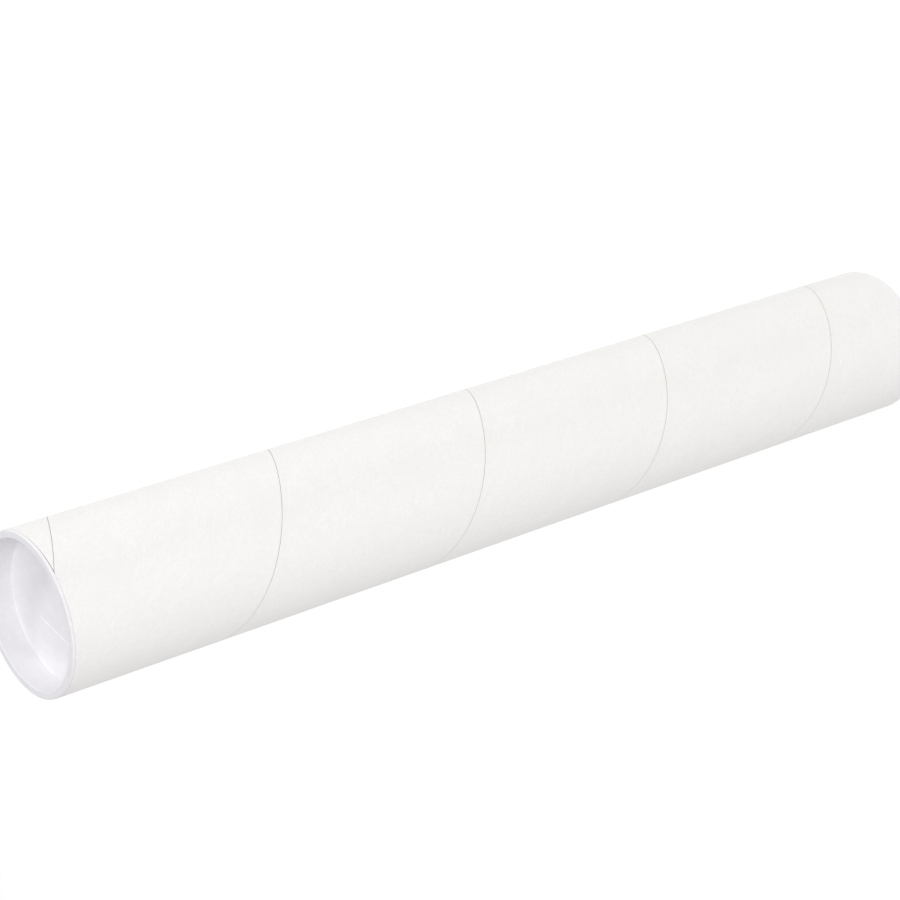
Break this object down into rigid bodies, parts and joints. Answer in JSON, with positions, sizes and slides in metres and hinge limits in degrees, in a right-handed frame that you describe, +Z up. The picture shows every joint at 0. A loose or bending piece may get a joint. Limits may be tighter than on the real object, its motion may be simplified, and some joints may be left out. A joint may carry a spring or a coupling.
{
  "type": "cardboard mailing tube",
  "caption": "Spiral-wound cardboard mailing tube, white outside, with a flanged plastic plug pushed into each end to close it.",
  "frame": {"origin": "centre of the bottom plug's outer face, on the surface that the tube stands on", "axes": "+Z up the tube's axis, +X towards the pictured side, where the spiral seam reaches the top end, +Y completes the right-handed frame"},
  "size_m": [0.0666, 0.0666, 0.4598],
  "materials": {
    "tube_paper": "smooth uncoated white paper, faintly mottled, over plain cardboard plies",
    "plug_plastic": "satin white moulded polyethylene"
  },
  "bodies": {
    "bottom_plug": {"bottom_plug": "plug_plastic"},
    "tube": {"tube": "tube_paper"},
    "top_plug": {"top_plug": "plug_plastic"}
  },
  "joints": [
    {"name": "tube_lift", "type": "slide", "parent": "bottom_plug", "child": "tube", "axis": [0, 0, 1], "range_m": [0, 0.048]},
    {"name": "top_plug_pull", "type": "slide", "parent": "tube", "child": "top_plug", "axis": [0, 0, 1], "range_m": [0, 0.048]}
  ]
}
